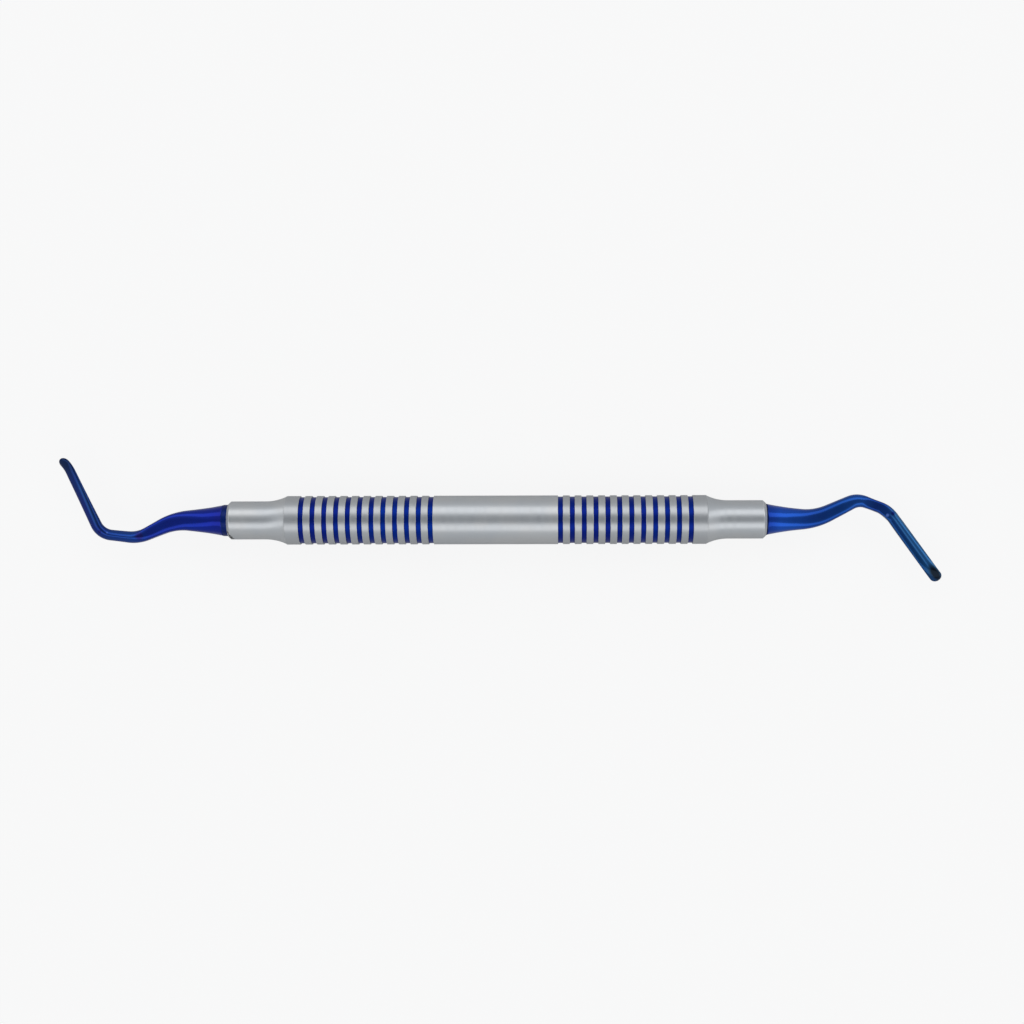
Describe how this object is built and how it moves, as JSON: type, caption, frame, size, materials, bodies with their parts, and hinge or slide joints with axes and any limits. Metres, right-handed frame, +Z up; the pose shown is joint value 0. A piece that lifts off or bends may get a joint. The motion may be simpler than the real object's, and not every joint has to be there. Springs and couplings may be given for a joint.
{
  "type": "periodontal tunneling instrument",
  "caption": "Slim double-ended hand instrument: a grooved round steel handle with blue bands, and a bent, tapering blue tip with a narrow flat round-ended blade at each end.",
  "frame": {"origin": "the handle's middle, on its axis", "axes": "+X along the handle to the right tip, +Z up from the table that the handle lies on, +Y the way the left blade points"},
  "size_m": [0.1809, 0.0257, 0.01],
  "materials": {
    "handle_steel": "satin",
    "band_blue": "satin",
    "tip_blue": "gloss"
  },
  "bodies": {
    "root": {"handle_tube": "handle_steel", "neck_left": "handle_steel", "neck_right": "handle_steel", "tip_left": "tip_blue", "tip_right": "tip_blue", "band_left_01": "band_blue", "band_left_02": "band_blue", "band_left_03": "band_blue", "band_left_04": "band_blue", "band_left_05": "band_blue", "band_left_06": "band_blue", "band_left_07": "band_blue", "band_left_08": "band_blue", "band_left_09": "band_blue", "band_left_10": "band_blue", "band_left_11": "band_blue", "band_left_12": "band_blue", "band_right_01": "band_blue", "band_right_02": "band_blue", "band_right_03": "band_blue", "band_right_04": "band_blue", "band_right_05": "band_blue", "band_right_06": "band_blue", "band_right_07": "band_blue", "band_right_08": "band_blue", "band_right_09": "band_blue", "band_right_10": "band_blue", "band_right_11": "band_blue", "band_right_12": "band_blue"}
  },
  "joints": []
}
